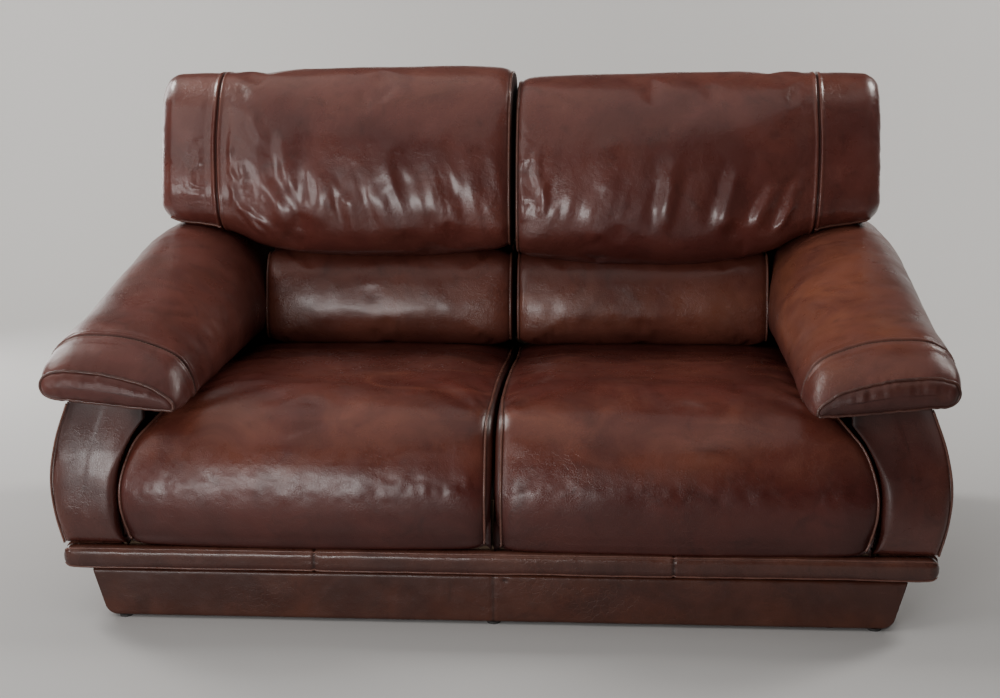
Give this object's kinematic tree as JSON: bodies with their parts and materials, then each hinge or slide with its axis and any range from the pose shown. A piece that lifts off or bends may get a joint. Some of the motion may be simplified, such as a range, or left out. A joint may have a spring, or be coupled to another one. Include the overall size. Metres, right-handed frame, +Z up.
{
  "type": "two seat leather sofa",
  "caption": "Worn leather sofa with overhanging padded arms, lumbar rolls, folded-over head cushions, a belt moulding and a recessed plinth.",
  "frame": {"origin": "on the floor, under the middle of the overall box", "axes": "+X along the sofa's length, to the right of someone who stands in front and faces it; +Y from the front towards the outside back; +Z up"},
  "size_m": [1.64, 0.92, 0.968],
  "materials": {
    "aged_leather": "glossy oxblood brown leather, rubbed lighter where hands and legs touch it",
    "plinth_leather": "glossy dark brown leather pulled flat over boards, scuffed at the floor",
    "piping": "narrow leather welt, worn on its crest",
    "thread": "waxed brown sewing thread",
    "timber": "sawn softwood, unfinished",
    "spring_steel": "drawn spring wire, dull",
    "webbing": "woven elastic webbing",
    "dust_cloth": "black non-woven cloth",
    "nylon": "moulded nylon glide"
  },
  "bodies": {
    "root": {"arm_board_left": "timber", "arm_board_right": "timber", "arm_facing_left": "aged_leather", "arm_facing_right": "aged_leather", "arm_pad_left": "aged_leather", "arm_pad_right": "aged_leather", "arm_side_left": "aged_leather", "arm_side_right": "aged_leather", "back_end_left": "plinth_leather", "back_end_right": "plinth_leather", "back_post_centre": "timber", "back_post_left": "timber", "back_post_right": "timber", "back_strap_left_1": "webbing", "back_strap_left_2": "webbing", "back_strap_right_1": "webbing", "back_strap_right_2": "webbing", "back_top_rail": "timber", "belt_front": "plinth_leather", "belt_left": "plinth_leather", "belt_right": "plinth_leather", "corner_block_back_left": "timber", "corner_block_back_right": "timber", "corner_block_front_left": "timber", "corner_block_front_right": "timber", "dust_cover": "dust_cloth", "glide_back_centre": "nylon", "glide_back_left": "nylon", "glide_back_right": "nylon", "glide_front_centre": "nylon", "glide_front_left": "nylon", "glide_front_right": "nylon", "head_cushion_left": "aged_leather", "head_cushion_right": "aged_leather", "lumbar_cushion_left": "aged_leather", "lumbar_cushion_right": "aged_leather", "lumbar_rail_left": "timber", "lumbar_rail_right": "timber", "outside_back": "plinth_leather", "plinth_back": "plinth_leather", "plinth_front": "plinth_leather", "plinth_left": "plinth_leather", "plinth_right": "plinth_leather", "seat_cushion_left": "aged_leather", "seat_cushion_right": "aged_leather", "seat_rail_back": "timber", "seat_rail_centre": "timber", "seat_rail_front": "timber", "seat_rail_left": "timber", "seat_rail_right": "timber", "seat_spring_left_1": "spring_steel", "seat_spring_left_2": "spring_steel", "seat_spring_left_3": "spring_steel", "seat_spring_left_4": "spring_steel", "seat_spring_right_1": "spring_steel", "seat_spring_right_2": "spring_steel", "seat_spring_right_3": "spring_steel", "seat_spring_right_4": "spring_steel"}
  },
  "joints": []
}
